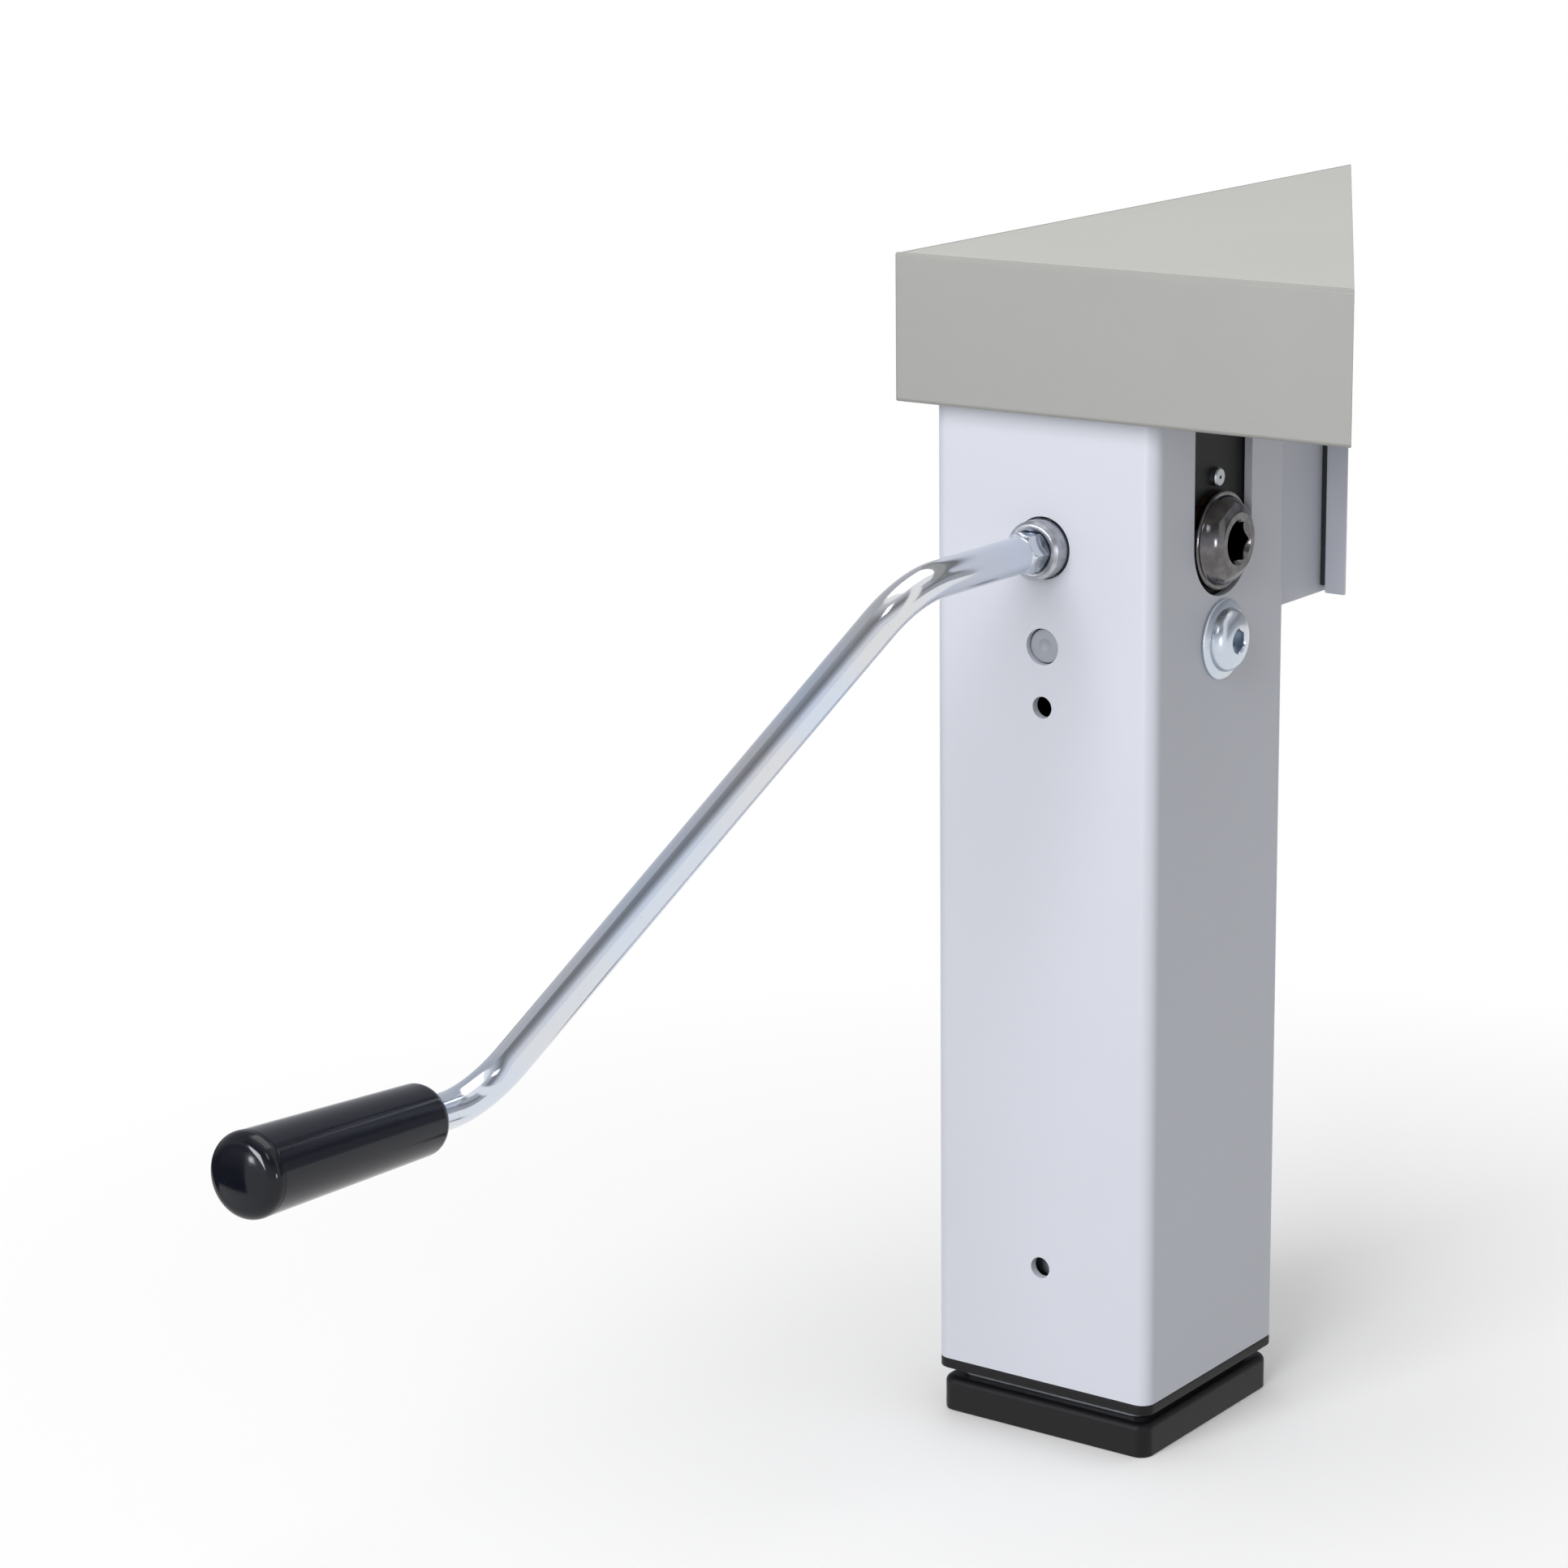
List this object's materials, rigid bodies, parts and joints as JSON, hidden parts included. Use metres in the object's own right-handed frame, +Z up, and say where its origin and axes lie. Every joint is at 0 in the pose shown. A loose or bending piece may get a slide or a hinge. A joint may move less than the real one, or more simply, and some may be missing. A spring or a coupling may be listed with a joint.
{
  "type": "height-adjustable worktop leg corner",
  "caption": "Corner of a hand-cranked height-adjustable workbench: worktop corner on a square telescopic leg, bevel gearbox, drive socket and plug-in bent crank.",
  "frame": {"origin": "on the floor, in the middle of the square leg", "axes": "+Z up, square to the worktop; -Y is the side from which the crank comes out; +X is the side with the slot and the cross drive"},
  "size_m": [0.178, 0.4887, 0.33],
  "materials": {
    "board": "raw chipboard",
    "laminate": "warm grey laminate, fine texture",
    "edge_band": "warm grey, satin",
    "powder_coat": "pale blue-grey powder coat, fine grain",
    "black_steel": "black, satin",
    "bare_steel": "drawn steel",
    "black_plastic": "black, fine grain",
    "grey_plastic": "light grey",
    "zinc": "bright zinc plating",
    "bronze": "sintered bronze",
    "bearing_steel": "ground steel, oiled",
    "hub_steel": "turned steel",
    "dark_steel": "dark phosphated steel, polished dome",
    "chrome_bar": "bright chrome plating",
    "grip_black": "black, glossy"
  },
  "bodies": {
    "base": {"inner_leg_tube": "bare_steel", "upper_glide_collar": "black_plastic", "nut_plate": "bare_steel", "spindle_nut": "bronze", "nut_screws": "zinc", "foot_cap": "black_plastic"},
    "outer_leg": {"worktop_core": "board", "worktop_laminate": "laminate", "worktop_backing": "laminate", "edge_band_front": "edge_band", "edge_band_left": "edge_band", "outer_leg_tube": "powder_coat", "lower_glide_collar": "black_plastic", "head_plate": "black_steel", "worktop_screws": "zinc", "gearbox_base": "black_plastic", "gearbox_cover": "black_plastic", "gearbox_screws": "zinc", "input_bush": "bronze", "cross_bush": "bronze", "spindle_bush": "bronze", "thrust_race_upper": "bearing_steel", "thrust_rollers": "bearing_steel", "leg_screws": "zinc", "locating_dowels": "grey_plastic", "housing_side_screw": "zinc", "cross_rail": "powder_coat", "rail_joint_plate": "black_steel", "long_rail": "powder_coat", "rail_screw": "zinc"},
    "spindle": {"spindle": "bearing_steel", "crown_wheel": "bearing_steel", "crown_washer": "zinc", "crown_screw": "zinc", "thrust_race_lower": "bearing_steel", "stop_washer": "zinc", "stop_screw": "zinc"},
    "input_drive": {"input_pinion": "bearing_steel", "input_sleeve": "hub_steel"},
    "cross_drive": {"cross_pinion": "bearing_steel", "cross_hub": "dark_steel"},
    "crank": {"crank_tip": "chrome_bar", "crank_rod": "chrome_bar", "grip_clip": "zinc"},
    "grip": {"crank_grip": "grip_black", "grip_cap": "grip_black"}
  },
  "joints": [
    {"name": "leg_lift", "type": "slide", "parent": "base", "child": "outer_leg", "axis": [0, 0, 1], "range_m": [0, 0.11]},
    {"name": "crank_turn", "type": "hinge", "parent": "outer_leg", "child": "input_drive", "pos_m": [0, 0, 0.2532], "axis": [0, 1, 0], "range_deg": [0, 14850]},
    {"name": "cross_turn", "type": "hinge", "parent": "outer_leg", "child": "cross_drive", "pos_m": [0, 0, 0.2532], "axis": [1, 0, 0], "range_deg": [-14850, 0]},
    {"name": "spindle_turn", "type": "hinge", "parent": "outer_leg", "child": "spindle", "pos_m": [0, 0, 0.2532], "axis": [0, 0, -1], "range_deg": [0, 9901]},
    {"name": "crank_pull", "type": "slide", "parent": "input_drive", "child": "crank", "axis": [0, -1, 0], "range_m": [0, 0.02]},
    {"name": "grip_spin", "type": "hinge", "parent": "crank", "child": "grip", "pos_m": [-0.07209, -0.20872, 0.12834], "axis": [0.0427, -0.9963, 0.074], "continuous": true}
  ],
  "couplings": [
    {"joint": "leg_lift", "follows": "crank_turn", "m_per_rad": 0.00042441},
    {"joint": "cross_turn", "follows": "crank_turn", "ratio": -1},
    {"joint": "spindle_turn", "follows": "crank_turn", "ratio": 0.66667}
  ]
}
